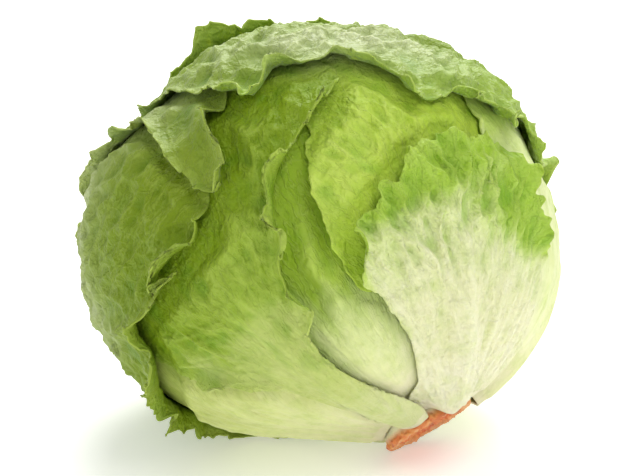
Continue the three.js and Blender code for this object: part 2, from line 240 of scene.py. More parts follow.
# Painted sheen, pale reflected light on the blades' crests: polar, turn, spread and how strong
PAINTED_SHEEN_SPOTS = [(57, 32, 9, 0.7), (62, 48, 10, 0.9), (70, 62, 12, 0.65), (44, 18, 10, 0.35),
         (47, -52, 16, 0.45), (60, -56, 12, 0.35), (50, -14, 10, 0.3), (84, -62, 13, 0.45),
         (70, -80, 14, 0.35)]


def make_leaf(name, **own):
    """A leaf's facts, with the usual ones where it has none of its own.

    centre, margin: directions of its middle and edge. foot: its main rib's turn at the stem.
    rib: that rib's height and width. grain: the mesh's spacing.
    waves, frill, ragged: how many ruffles the margin has, how strong, and how uneven it is.
    calm: polar angles over which it settles down. lifts: [polar, turn, spread, height, curl] of
    places where it stands up and rolls back.
    crinkle, crinkled: the wrinkles' depth, and the angles from the stem over which they set in.
    pads: [polar, turn, spread, height] of places that swell or sink.
    ramp: colours by the angle from the stem. tints: [polar, turn, spread, shift] of places with
    the colour of a spot some degrees further on. hem, rib_pale: how far the margin's colour is
    shifted that way, and the rib's the other way. sheen: a soft gloss.
    mains: how many ribs leave the foot. veins, vein_tone, vein_fade: the veins' colour, its
    strength, and the angles over which it fades. raise_veins: how much higher they stand.
    net: how strong the fine web between them is.
    """
    usual = dict(mains=9, ragged=1.0, calm=(132, 152), lifts=[], crinkled=(22, 62), pads=[],
                 tints=[], hem=0, rib_pale=16, veins=(0.72, 0.84, 0.24), vein_tone=0.55,
                 vein_fade=(179, 180), raise_veins=1.0, sheen=0.0)
    return {**usual, "name": name, **own}


# The wrapper leaves from the innermost to the outermost
LEAVES = [
    make_leaf(
        "leaf_front_inner", centre=(112, 4), foot=4, rib=(2, 11), waves=9, frill=0.5,
        margin=[(64, 5), (70, -22), (86, -31), (105, -33), (125, -32), (145, -30), (162, -40),
                (162, 48), (145, 40), (125, 40), (105, 38), (86, 34), (70, 28)],
        ramp=[(15, CREAM), (40, (0.74, 0.77, 0.42)), (50, (0.66, 0.72, 0.34)),
              (63, (0.46, 0.58, 0.16)), (72, (0.36, 0.51, 0.05)), (85, (0.29, 0.44, 0.02))],
        crinkle=0.5, net=0.5, slot="leaf_green", grain=1.0,
        tints=[(116, 5, 8, 7), (103, 4, 9, 11)]),
    make_leaf(
        "leaf_upper_inner", centre=(108, 48), foot=50, rib=(2.5, 12), waves=7, frill=0.6,
        margin=[(60, 55), (58, 40), (63, 27), (74, 21), (84, 17.5), (89.8, 13.7), (95, 12.2),
                (101.5, 10.7), (108.5, 9.9), (114, 10), (117.5, 11), (121, 15), (128, 20),
                (142, 22), (162, 5), (162, 95), (142, 82), (115, 84), (90, 84), (71, 76)],
        ramp=[(15, IVORY), (45, (0.55, 0.66, 0.20)), (62, (0.37, 0.55, 0.03)),
              (80, (0.46, 0.63, 0.055)), (110, (0.42, 0.59, 0.05))],
        crinkle=1.5, crinkled=(50, 105), net=0.4, slot="leaf_green", grain=0.75,
        tints=[(82, 30, 9, 6), (92, 48, 8, -12)], pads=[(98, 28, 9, 1.0)],
        lifts=[(101, 10.7, 5, 0.4, 0.05), (114, 10, 3, 0.8, 0.15), (84, 18, 4, 0.8, 0.1)]),
    make_leaf(
        "leaf_right", centre=(112, 108), foot=108, rib=(3, 13), waves=8, frill=0.5,
        margin=[(64, 106), (69, 78), (82, 64), (100, 58), (122, 58), (142, 62), (162, 60),
                (162, 152), (142, 148), (120, 152), (100, 152), (80, 146), (68, 132)],
        ramp=[(15, CREAM), (50, (0.82, 0.87, 0.50)), (80, (0.76, 0.83, 0.42)),
              (110, (0.50, 0.64, 0.14))],
        crinkle=0.3, net=0.25, slot="leaf_pale", grain=1.0, tints=[(88, 64, 13, 45)]),
    make_leaf(
        "leaf_belly", centre=(116, -68), foot=-66, rib=(3, 13), waves=8, frill=0.5,
        margin=[(72, -72), (77, -50), (90, -36), (108, -30), (128, -20), (148, -14),
                (162, -22), (162, -112), (146, -114), (126, -112), (104, -110), (84, -98)],
        ramp=[(15, CREAM), (40, (0.72, 0.75, 0.35)), (55, (0.58, 0.62, 0.22)),
              (70, (0.46, 0.53, 0.13)), (85, (0.32, 0.42, 0.06)), (105, (0.25, 0.36, 0.04))],
        crinkle=0.3, net=0.3, slot="leaf_pale", grain=1.0),
    make_leaf(
        "leaf_front_ribbed", centre=(124, 40), foot=36, rib=(4.5, 17), waves=16, frill=0.6,
        margin=[(94.5, 45), (95.2, 40.5), (96.5, 36), (98.1, 31), (100.7, 25), (103, 20),
                (104.9, 16.1), (107.8, 15.7), (110.6, 13.8), (113.5, 12.8), (118, 13.3),
                (122.6, 15.2), (135, 17), (150, 15), (162, -2), (163, 92), (152, 90),
                (141, 83), (131.4, 77.2), (121, 72.5), (112.6, 69), (106, 66), (100.5, 62.8),
                (98.5, 56), (98.5, 52.4), (95.6, 48.3)],
        ramp=[(15, (0.93, 0.90, 0.64)), (36, (0.77, 0.77, 0.43)), (54, (0.70, 0.76, 0.36)),
              (66, (0.64, 0.75, 0.27)), (75, (0.48, 0.65, 0.12)), (86, (0.37, 0.57, 0.04))],
        crinkle=2.3, crinkled=(46, 76), net=0.35, slot="leaf_pale", grain=0.55, mains=13,
        veins=(0.93, 0.93, 0.62), vein_fade=(64, 90), raise_veins=1.6, vein_tone=0.75,
        tints=[(112, 69, 9, 26), (124, 72, 9, 28), (110, 22, 6, -9), (98, 31, 7, 22),
               (96, 44, 7, 22), (118, 61, 9, 15), (130, 25, 8, -6), (102, 40, 5, 16),
               (112, 52, 8, 8), (104, 24, 4, 12)], ragged=1.2, hem=16,
        pads=[(102, 41, 2.5, -1.4), (99, 33, 2.5, 1.2), (104, 26, 2, -1), (104, 35, 2.5, 0.8),
              (105, 46, 3, 0.8)], calm=(118, 140),
        lifts=[(110, 14, 5, 1.2, 0.2), (113, 69, 8, 1.8, 0.22), (124, 74, 8, 1.8, 0.22)]),
    make_leaf(
        "leaf_front_left", centre=(98, -14), foot=-4, rib=(3.5, 15), waves=19, frill=1.9,
        margin=[(56, -15), (55, 5), (57, 20), (63, 31), (71, 33), (78, 27), (82, 20),
                (86.5, 13.5), (91, 8.4), (96.8, 4.2), (100.3, 2.7), (104.1, 0), (108.2, -1),
                (111.7, -0.3), (115.6, -0.5), (117.6, -3), (119, -6), (122, -5.5),
                (129, -6.5), (139, -3.5), (150, 2), (162, 11), (164, -20),
                (149, -17), (129, -25), (115, -38), (104, -47), (88, -49), (72, -40)],
        ramp=[(15, CREAM), (40, (0.62, 0.66, 0.26)), (60, (0.50, 0.59, 0.17)),
              (70, (0.33, 0.46, 0.05)), (80, (0.23, 0.35, 0.01)), (110, (0.23, 0.35, 0.01))],
        crinkle=1.4, crinkled=(50, 100), net=0.5, slot="leaf_green", grain=0.62, mains=15,
        veins=(0.50, 0.64, 0.12), vein_tone=0.6,
        tints=[(80, 22, 7, -18), (112, -30, 8, -4), (103, -17, 9, 15), (107, -4, 5, 10)],
        calm=(119, 130), rib_pale=5,
        lifts=[(98, 3, 4, 2.0, 0.2), (104, 0, 3, 1.6, 0.15), (110, -1, 4, 1.6, 0.2),
               (117, -3, 4, 1.0, 0.15), (80, 23, 6, 2, 0.15), (90, 9, 4, 2.2, 0.2)]),
    make_leaf(
        "leaf_left", centre=(90, -108), foot=-132, rib=(3.5, 15), waves=30, frill=1.9,
        margin=[(44, -90), (38, -55), (42, -30), (56, -12), (70, -6), (80, -5.5), (84, -7.5),
                (87, -8.5), (90, -10), (92, -14), (93.2, -18.5), (92.8, -27),
                (96.1, -36.7), (101, -41), (106, -45.2), (109, -51), (112, -61), (115, -72),
                (118.5, -82), (127, -95), (148, -100), (162, -96), (162, -178), (148, -176),
                (128, -170), (105, -164), (80, -158), (56, -130)],
        ramp=[(15, CREAM), (35, (0.50, 0.56, 0.18)), (58, (0.25, 0.35, 0.012)),
              (90, (0.185, 0.28, 0.005)), (120, (0.20, 0.29, 0.008))],
        crinkle=1.4, net=0.8, slot="leaf_dark", grain=0.82,
        veins=(0.56, 0.70, 0.15), vein_tone=0.8,
        tints=[(97, -62, 12, -12)],
        lifts=[(85, -7, 4, 1.5, 0.1), (91, -12, 5, 2, 0.15), (93, -25, 6, 3, 0.15),
               (97, -38, 5, 2.5, 0.15), (106, -46, 5, 2.5, 0.15), (110, -56, 6, 3.5, 0.1),
               (116, -75, 7, 4, 0.1)]),
    make_leaf(
        "leaf_upper_left", centre=(6, 180), foot=180, rib=(3.5, 15), waves=34, frill=1.7,
        margin=[(87, -1.5), (86, -4), (82.5, -8), (77, -9.2), (66, -12.5), (56, -16.5),
                (50, -25), (47, -45), (53, -68), (70, -92), (92, -118), (118, -142),
                (142, -156), (162, -166), (162, 164), (142, 164), (116, 160), (86, 156),
                (62, 138), (44, 108), (36, 68), (38, 35), (48, 15), (62, 6), (71, 2.4),
                (80, 0.5)],
        ramp=[(15, CREAM), (40, (0.48, 0.56, 0.18)), (80, (0.22, 0.31, 0.015)),
              (140, (0.21, 0.30, 0.015))],
        crinkle=1.1, net=0.6, slot="leaf_dark", grain=1.1, sheen=0.08,
        veins=(0.50, 0.66, 0.12),
        lifts=[(86, -3, 4, 1, 0.2), (66, 3, 5, 2, 0.3)]),
    make_leaf(
        "leaf_crown", centre=(54, 136), foot=146, rib=(3.5, 16), waves=36, frill=1.4,
        margin=[(40, -25), (45, -11), (51.3, -5), (55.7, 1), (59.8, 4.3), (63.8, 5.3),
                (64.9, 7.7), (67, 9), (69.9, 9.4), (70.2, 13.5), (66.5, 19.2),
                (66.1, 23), (67.9, 26.1), (67.5, 29.8), (67.4, 33.8), (71, 35.4), (75, 38),
                (79.3, 40.4), (84.3, 41), (86.5, 43), (88.3, 49.9), (88.6, 53.6), (93, 55),
                (91, 60), (93.2, 64), (100.4, 62.5), (98.5, 67), (95.5, 72), (96.2, 78),
                (102, 84), (106, 92), (104, 99), (108, 106), (122, 118), (138, 128),
                (150, 134), (162, 136), (162, -172), (146, -178), (118, 178), (90, 178),
                (62, -178), (42, -150), (30, -90), (34, -40)],
        ramp=[(15, CREAM), (42, (0.58, 0.63, 0.25)), (75, (0.38, 0.53, 0.08)),
              (95, (0.31, 0.46, 0.04)), (120, (0.24, 0.35, 0.02)), (170, (0.26, 0.37, 0.03))],
        crinkle=1.7, net=0.7, slot="leaf_dark", grain=1.0, sheen=0.15,
        veins=(0.64, 0.76, 0.28), tints=[(68, 12, 6, -30)],
        lifts=[(66, 7, 4, 1.5, 0.2), (69, 12, 4, 2, 0.25), (66, 22, 4, 1.5, 0.2),
               (82, 41, 5, 2.2, 0.2), (91, 56, 5, 2, 0.3), (99, 65, 4, 2, 0.3)]),
    make_leaf(
        "leaf_back", centre=(78, -172), foot=-170, rib=(4, 17), waves=30, frill=1.4,
        margin=[(27, 20), (30, -14), (38, -62), (52, -98), (74, -122), (98, -142),
                (122, -158), (144, -162), (162, -152), (162, 145), (144, 148), (122, 146),
                (98, 140), (74, 130), (52, 112), (34, 72)],
        ramp=[(15, CREAM), (40, (0.55, 0.60, 0.22)), (75, (0.30, 0.41, 0.06)),
              (140, (0.26, 0.38, 0.045))],
        crinkle=1.2, net=0.7, slot="leaf_dark", grain=1.2,
        lifts=[(28, 10, 10, 3, 0.2)]),
]


class VeinMap:
    """Ribs and veins of a leaf, grown from its foot and painted on its flattened blade."""

    CELL, STEP, SPARE = 0.35, 0.7, 4
    MIDRIB, MAIN, MAIN_LENGTH, SPLAY = 1.6, 1.1, 170, 0.10
    TAPER, THINNEST, BRANCH_WIDTH, BRANCH_BEND = 0.8, 0.12, 0.62, 0.45
    # The gaps between branches, their angles in degrees and their lengths, for the branches of a
    # main vein and of the two finer orders, and how strongly each order shows
    GAPS, ANGLES, LENGTHS = (9, 6, 4.5), (24, 38, 46), (52, 22, 9)
    SHADES = (1.0, 0.85, 0.65, 0.45)

    def __init__(self, outline, leaf, seed):
        self.outline = outline
        self.draw = np.random.default_rng(seed)
        self.half = float(outline.rim_reach_max + self.SPARE)
        count = int(2 * self.half / self.CELL) + 1
        self.mask = np.zeros((count, count))
        self.height = np.zeros((count, count))
        self.samples = []
        self.edges = outline.edge(np.arange(-180, 180, 0.5)).tolist()
        ends = outline.base_turns
        mains = leaf["mains"]
        for i in range(mains):
            a = (i + 0.5) / mains * 2 - 1
            turn = ends[0] + (ends[1] - ends[0]) * (a + 1) / 2
            start = self.flat(direction(np.array([180 - STEM_ANGLE - 4.0]), np.array([turn])))[0]
            ahead = self.flat(direction(np.array([180 - STEM_ANGLE - 9.0]), np.array([turn])))[0]
            way = ahead - start
            width = self.MIDRIB if abs(a) < 0.2 else self.MAIN
            self.grow(start, math.atan2(way[0], way[1]), width, self.MAIN_LENGTH, 0,
                      self.SPLAY * a * abs(a))
        self.paint()

    def flat(self, x):
        bearing, reach = self.outline.coordinates(x)
        b = np.radians(bearing)
        return np.stack([reach * np.sin(b), reach * np.cos(b)], -1)

    def grow(self, start, course, width, length, level, bend):
        """Walks a vein out from its start and sends off its branches by turns on either side."""
        p = np.array(start, float)
        side = 1 if self.draw.random() < 0.5 else -1
        branching = level < len(self.GAPS)
        gap = self.GAPS[level] if branching else 0.0
        since = gap * self.draw.random()
        wiggle = 0.0
        count = int(length / self.STEP)
        for i in range(count):
            part = i / count
            w = width * (1 - self.TAPER * part)
            wiggle = 0.9 * wiggle + 0.02 * self.draw.normal()
            course += (wiggle * 0.25 + bend * 0.06) * self.STEP
            p = p + self.STEP * np.array([math.sin(course), math.cos(course)])
            reach = math.hypot(*p)
            bearing = math.degrees(math.atan2(p[0], p[1]))
            if reach > self.edges[int(bearing * 2 + 360) % 720] - 0.3:
                break
            self.samples.append((p[0], p[1], w, level))
            since += self.STEP
            if branching and since > gap and w > self.THINNEST:
                since = gap * 0.25 * self.draw.random()
                side = -side
                spread = math.radians(self.ANGLES[level] + 8 * self.draw.normal())
                far = self.LENGTHS[level] * (0.6 + 0.6 * self.draw.random())
                self.grow(p, course + side * spread, w * self.BRANCH_WIDTH, far, level + 1,
                          -side * self.BRANCH_BEND)

    def paint(self):
        size = len(self.mask)
        for x, y, w, level in self.samples:
            w = max(w, 0.5)
            reach = int(w * 1.6 / self.CELL) + 1
            cx, cy = (x + self.half) / self.CELL, (y + self.half) / self.CELL
            ix, iy = int(round(cx)), int(round(cy))
            if not (reach <= ix < size - reach and reach <= iy < size - reach):
                continue
            gx = (np.arange(ix - reach, ix + reach + 1) - cx) * self.CELL
            gy = (np.arange(iy - reach, iy + reach + 1) - cy) * self.CELL
            d = np.hypot(gx[None, :], gy[:, None]) / (1.6 * w)
            bump = np.maximum(1 - d * d, 0) ** 2
            here = (slice(iy - reach, iy + reach + 1), slice(ix - reach, ix + reach + 1))
            self.mask[here] = np.maximum(self.mask[here], self.SHADES[level] * bump)
            self.height[here] = np.maximum(self.height[here], 0.65 * w * bump)

    def read(self, grid, x):
        """A grid's value at some directions."""
        at = (self.flat(x) + self.half) / self.CELL
        i = np.clip(at.astype(int), 0, len(grid) - 2)
        f = np.clip(at - i, 0, 1)
        gx, gy, fx, fy = i[:, 0], i[:, 1], f[:, 0], f[:, 1]
        low = grid[gy, gx] * (1 - fx) + grid[gy, gx + 1] * fx
        high = grid[gy + 1, gx] * (1 - fx) + grid[gy + 1, gx + 1] * fx
        return low * (1 - fy) + high * fy


def stitch(outer_start, outer_count, inner_start, inner_count):
    """Triangles between two rings that start at the same bearing."""
    at = np.concatenate([(np.arange(outer_count) + 1) / outer_count,
                         (np.arange(inner_count) + 1) / inner_count + 1e-9])
    is_outer = np.arange(len(at)) < outer_count
    order = at.argsort(kind="stable")
    is_outer = is_outer[order]
    o = np.cumsum(is_outer) - is_outer
    i = np.cumsum(~is_outer) - ~is_outer
    a = outer_start + o % outer_count
    b = inner_start + i % inner_count
    c = np.where(is_outer, outer_start + (o + 1) % outer_count,
                 inner_start + (i + 1) % inner_count)
    return np.stack([a, b, c], 1)


def vertex_normals(points, faces):
    sides = np.cross(points[faces[:, 1]] - points[faces[:, 0]],
                     points[faces[:, 2]] - points[faces[:, 0]])
    total = np.zeros_like(points)
    for k in range(3):
        np.add.at(total, faces[:, k], sides)
    return unit(total)


def to_world(points):
    return (points @ HEAD_AXES + HEAD_CENTRE) * MM


def make_piece(name, points, faces, values, material, node):
    """A mesh object from points in head axes, with one number or vector at each vertex."""
    mesh = bpy.data.meshes.new(name)
    world = to_world(points)
    world[:, 2] = np.maximum(world[:, 2], FLOOR_GAP * MM)
    mesh.vertices.add(len(world))
    mesh.vertices.foreach_set("co", world.ravel())
    mesh.loops.add(3 * len(faces))
    mesh.loops.foreach_set("vertex_index", faces.ravel().astype(np.int32))
    mesh.polygons.add(len(faces))
    mesh.polygons.foreach_set("loop_start", np.arange(0, 3 * len(faces), 3, dtype=np.int32))
    mesh.update(calc_edges=True)
    mesh.validate()
    mesh.shade_smooth()
    for key, value in values.items():
        kind = "FLOAT_VECTOR" if value.ndim == 2 else "FLOAT"
        layer = mesh.attributes.new(key, kind, "POINT")
        layer.data.foreach_set("vector" if value.ndim == 2 else "value",
                               value.astype(np.float32).ravel())
    mesh.materials.append(material)
    piece = bpy.data.objects.new(name, mesh)
    bpy.context.scene.collection.objects.link(piece)
    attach(piece, "root")
    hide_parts(node)
    return piece


def prepare(leaf):
    """A leaf's outline, with what its margin needs for ruffles."""
    outline = Outline(leaf["centre"], leaf["margin"], leaf["foot"])
    outline.rim_reach_max = outline.coordinates(outline.rim)[1].max()
    tangent = np.roll(outline.rim, -1, 0) - np.roll(outline.rim, 1, 0)
    outline.speed = np.linalg.norm(tangent, axis=1) / 2
    outline.tangent = unit(tangent)
    away = np.cross(outline.rim, outline.tangent)
    towards = ((outline.rim - outline.centre) * away).sum(1)
    outline.away = away * np.sign(np.median(towards))
    polar = np.degrees(np.arccos(outline.rim[:, 1]))
    outline.freedom = 1 - smooth(polar, *leaf["calm"])
    base = outline.rim[(polar > 158) & (polar < 170)]
    turns = np.degrees(np.arctan2(base[:, 0], base[:, 2]))
    turns = (turns - leaf["foot"] + 180) % 360 - 180 + leaf["foot"]
    outline.base_turns = (turns.min() + 4, turns.max() - 4)
    return outline


OUTLINES = [prepare(leaf) for leaf in LEAVES]


def rib_height(leaf, outline, x):
    height, width = leaf["rib"]
    foot = direction(180 - STEM_ANGLE, leaf["foot"])
    length = angle_to(outline.centre, foot) * RIB_OVERSHOOT
    along = np.clip(1 - angle_to(x, foot) / length, 0, 1)
    side = unit(np.cross(foot, outline.centre))
    off = np.abs(np.arcsin(np.clip(x @ side, -1, 1))) * HALF_WIDTH
    taper = 0.35 + 0.65 * along
    return height * taper * smooth(along, 0, 0.4) * np.exp(-(off / (0.5 * width * taper)) ** 2)


def margin_facts(outline, x):
    """Millimetres in from the margin, the way round it, and its own directions there."""
    angle, j = nearest_angle(x, outline.rim)
    bearing, reach = outline.coordinates(x)
    inwards = angle * np.sign(outline.edge(bearing) - reach) * MM_PER_DEGREE
    slip = ((x - outline.rim[j]) * outline.tangent[j]).sum(1) / outline.speed[j]
    t = (outline.rim_t[j] + np.clip(slip, -0.5, 0.5) / len(outline.rim)) % 1
    return inwards, t, outline.tangent[j], outline.away[j], outline.freedom[j]


def band(inwards, width):
    return np.clip(1 - np.maximum(inwards, 0) / width, 0, 1) ** 2


# Three sizes of ruffle along a margin: how many to each of the leaf's waves, how far they
# wander, how often they do, how high they stand and how far they reach into the blade
RUFFLES = [(1.0, 2.5, 0.6, 1.3, 10), (2.7, 2.5, 1.5, 1.0, 5.5), (7.0, 2.0, 3.0, 0.45, 2.6)]
CURL_REACH = 5.5


def frills(leaf, seed, x, facts):
    """Ruffles and curls of the margin, as a move of each point in head axes."""
    inwards, t, tangent, away, freedom = facts
    n, size = leaf["waves"], leaf["frill"]
    uneven = np.clip(0.65 + 0.7 * along_noise(seed + 3, t, n * 0.5), 0.15, 1.3)
    lift, phases = 0 * t, []
    for i, (ratio, wander, often, height, depth) in enumerate(RUFFLES):
        phase = 2 * math.pi * round(ratio * n) * t
        phase = phase + wander * along_noise(seed + i, t, n * often)
        share = uneven if i < 2 else 1.0
        lift = lift + height * share * band(inwards, depth) * (0.5 + 0.5 * np.sin(phase))
        phases.append(phase)
    lift = size * lift + 0.15 * band(inwards, 4)
    curl = 0 * t
    for polar, turn, spread, height, roll in leaf["lifts"]:
        here = near(x, polar, turn, spread)
        lift = lift * (1 + 0.25 * height * here) + height * here * band(inwards, 9)
        curl = curl + roll * here
    sway = 0.9 * uneven * band(inwards, 9) * np.sin(2 * phases[0])
    sway = size * (sway + 0.4 * band(inwards, 4.5) * np.sin(2 * phases[1]))
    bend = size * 0.16 * np.clip(0.4 + 1.6 * along_noise(seed + 4, t, n * 1.1), 0, 2.2) + 1e-4
    bend = bend + curl
    turned = np.maximum(CURL_REACH - np.maximum(inwards, -2), 0)
    roll_out = (1 - np.cos(bend * turned)) / bend
    roll_in = np.sin(bend * turned) / bend - turned
    out = (lift + roll_out) * freedom
    move = out[:, None] * x + (sway * freedom)[:, None] * tangent
    return move + (roll_in * freedom)[:, None] * away


# The sizes of a blade's forms in millimetres: the bends that twist the others, the broad swells,
# the folds between blisters, the small blisters, and the creases across and along the veins
BEND, BEND_SIZE, SWELL_SIZE, FOLD_SIZE, BLISTER_SIZE, CREASE_SIZE = 2.5, 12, 19, 9.5, 4.6, (4.5, 15)


def crumple(leaf, seed, x, flow, stemward):
    """Blisters and wrinkles of the blade in millimetres, and how far each point is up a crest."""
    point = x * MEAN_RADIUS
    size = leaf["crinkle"] * smooth(stemward, *leaf["crinkled"])
    twist = np.stack([Noise(seed + q)(point / BEND_SIZE) for q in (11, 12, 13)], -1)
    bent = point + BEND * twist
    swell = Noise(seed + 5)(bent / SWELL_SIZE, 2)
    ridges = np.clip(1 - 1.5 * np.abs(Noise(seed + 6)(bent / FOLD_SIZE)), 0, 1)
    small = np.clip(1 - 1.5 * np.abs(Noise(seed + 10)(bent / BLISTER_SIZE)), 0, 1)
    across, along = CREASE_SIZE
    streak = np.stack([flow[:, 0] / across, flow[:, 1] / along, 0 * swell], -1)
    crease = np.clip(1 - 1.4 * np.abs(Noise(seed + 7)(streak, 2)), 0, 1) ** 1.5
    height = 1.3 * swell + 0.9 * ridges + 0.55 * small + 1.8 * crease - 1.0
    crest = 0.28 * ridges + 0.22 * small + 0.5 * crease + 0.25 * swell
    return np.maximum(size * height, -0.15), crest


def settle(field, faces, rounds):
    """Evens a field out over the mesh."""
    ends = np.concatenate([faces[:, [0, 1]], faces[:, [1, 2]], faces[:, [2, 0]]])
    ends = np.concatenate([ends, ends[:, ::-1]])
    count = np.bincount(ends[:, 0], minlength=len(field))[:, None]
    for _ in range(rounds):
        total = np.zeros_like(field)
        for k in range(field.shape[1]):
            total[:, k] = np.bincount(ends[:, 0], weights=field[ends[:, 1], k],
                                      minlength=len(field))
        field = 0.5 * field + 0.5 * total / count
    return field


def blade_net(outline, grain, ragged):
    """Rings of directions from the margin to the leaf's centre."""
    deep = outline.rim_reach_max * MM_PER_DEGREE
    rings, inwards = [], 0.0
    while inwards < deep * 0.985:
        spacing = grain * (0.65 + 0.35 * min(inwards / 8, 1))
        count = int(outline.length * MM_PER_DEGREE * (1 - inwards / deep) / spacing)
        rings.append((1 - inwards / deep, max(8, count)))
        inwards += spacing
    points, starts, faces = [], [], []
    start = 0
    for part, count in rings:
        t = np.arange(count) / count
        b = outline.bearing_at(t)
        reach = part * outline.at_stem(b) + ragged(t) * smooth(part, 0.86, 1)
        points.append(outline.place(b, reach))
        starts.append(start)
        start += count
    for i in range(len(rings) - 1):
        faces.append(stitch(starts[i], rings[i][1], starts[i + 1], rings[i + 1][1]))
    points.append(outline.centre[None])
    last, count = starts[-1], rings[-1][1]
    k = np.arange(count)
    faces.append(np.stack([last + k, 0 * k + start, last + (k + 1) % count], 1))
    return np.concatenate(points), np.concatenate(faces), starts, [r[1] for r in rings]


def underside(starts, counts, dense):
    """Which points of the outer face the inner one uses, and its triangles."""
    keep, rows, spots = [], [], 0
    coarser = 3
    for i in [*range(dense), *range(dense, len(starts), coarser)]:
        count = counts[i] if i < dense else max(6, counts[i] // coarser)
        keep.append(starts[i] + (np.arange(count) * counts[i]) // count)
        rows.append((spots, count))
        spots += count
    keep.append(np.array([starts[-1] + counts[-1]]))
    faces = [stitch(*rows[i], *rows[i + 1]) for i in range(len(rows) - 1)]
    last, count = rows[-1]
    k = np.arange(count)
    faces.append(np.stack([last + k, 0 * k + spots, last + (k + 1) % count], 1))
    return np.concatenate(keep), np.concatenate(faces)


def layers_over(k, x):
    """How many leaves lie over each point of a leaf, and how bare it is."""
    layers, bare = np.zeros(len(x)), np.ones(len(x))
    for outer in OUTLINES[k + 1:]:
        covered = outer.cover(x, DRAPE_START, DRAPE_SPREAD)
        layers, bare = layers + covered, bare * (1 - covered)
    return layers, bare


def tone(leaf, x, stemward, inwards, rib):
    """The angle from the stem whose colour each point has."""
    along = stemward - leaf["rib_pale"] * rib / leaf["rib"][0]
    hem = leaf["hem"] * np.exp(-np.maximum(inwards, 0) / 7)
    along = along + hem * smooth(stemward, 58, 74)
    for polar, turn, spread, shift in leaf["tints"]:
        along = along + shift * near(x, polar, turn, spread)
    return along


def thicken(point, faces, starts, counts, inwards):
    """A blade's two faces and the rim between them, and which points the inner face uses."""
    normal = vertex_normals(point, faces)
    dense = next(i for i, c in enumerate(counts) if c < counts[0] * 0.86)
    keep, back = underside(starts, counts, dense)
    thickness = BLADE + BLADE_GAIN * smooth(inwards, 1, 6)
    inner = point[keep] - thickness[keep, None] * normal[keep]
    shift, n = len(point), counts[0]
    i = np.arange(n)
    j = (i + 1) % n
    rim = np.concatenate([np.stack([i, j, i + shift], 1), np.stack([j, j + shift, i + shift], 1)])
    every = np.concatenate([faces, back[:, [0, 2, 1]] + shift, rim])
    return np.concatenate([point, inner]), every, keep


def leaf_piece(k, material):
    leaf, outline, seed = LEAVES[k], OUTLINES[k], 100 * (k + 1)

    def ragged(t):
        rough = 2.2 * along_noise(seed + 8, t, 45, 2) + 0.4 * along_noise(seed + 9, t, 110, 2)
        return leaf["ragged"] * np.interp(t, outline.rim_t, outline.freedom) * rough

    x, faces, starts, counts = blade_net(outline, leaf["grain"], ragged)
    layers, bare = layers_over(k, x)
    facts = margin_facts(outline, x)
    inwards, freedom = facts[0], facts[4]
    stemward = 180 - np.degrees(np.arccos(np.clip(x[:, 1], -1, 1)))
    veins = VeinMap(outline, leaf, seed)
    mask, raised = veins.read(veins.mask, x), veins.read(veins.height, x)
    foot = veins.flat(direction(np.array([FOOT_POLAR]), np.array([leaf["foot"]])))[0]
    spot = (veins.flat(x) - foot) * MM_PER_DEGREE
    flow = np.stack([55 * np.arctan2(spot[:, 0], spot[:, 1]), np.hypot(*spot.T), 0 * bare], -1)
    rib = rib_height(leaf, outline, x)
    wrinkles, crest = crumple(leaf, seed, x, flow, stemward)
    wrinkles = wrinkles * (0.4 + 0.6 * smooth(inwards, 0, 10))
    relief = rib + leaf["raise_veins"] * raised + wrinkles
    for polar, turn, spread, height in leaf["pads"]:
        relief = relief + height * near(x, polar, turn, spread)

    step = LAYER_STEP * (STEP_AT_STEM + (1 - STEP_AT_STEM) * smooth(stemward, *STEP_GROWS))
    depth = step * layers
    radius = body_radius(x) - depth + bare * relief
    move = settle(frills(leaf, seed, x, facts) * bare[:, None], faces, 2)
    point = x * radius[:, None] + move
    far = np.linalg.norm(point, axis=1)
    way = point / far[:, None]
    point = way * above_surface(way, far, depth)[:, None]
    points, every, keep = thicken(point, faces, starts, counts, inwards)

    # How strongly a painted sheen of reflected light lies on each point
    painted_sheen = sum(amount * near(x, polar, turn, spread) for polar, turn, spread, amount in PAINTED_SHEEN_SPOTS)
    values = {"stemward": tone(leaf, x, stemward, inwards, rib) / 180, "vein": mask * bare,
              "edge": np.exp(-np.maximum(inwards, 0) / 1.3) * freedom, "flow": flow * MM,
              "crest": crest, "painted_sheen": np.minimum(painted_sheen, 1)}
    values = {key: np.concatenate([v, v[keep]]) for key, v in values.items()}
    return make_piece(leaf["name"] + "_blade", points, every, values, material, leaf["name"])


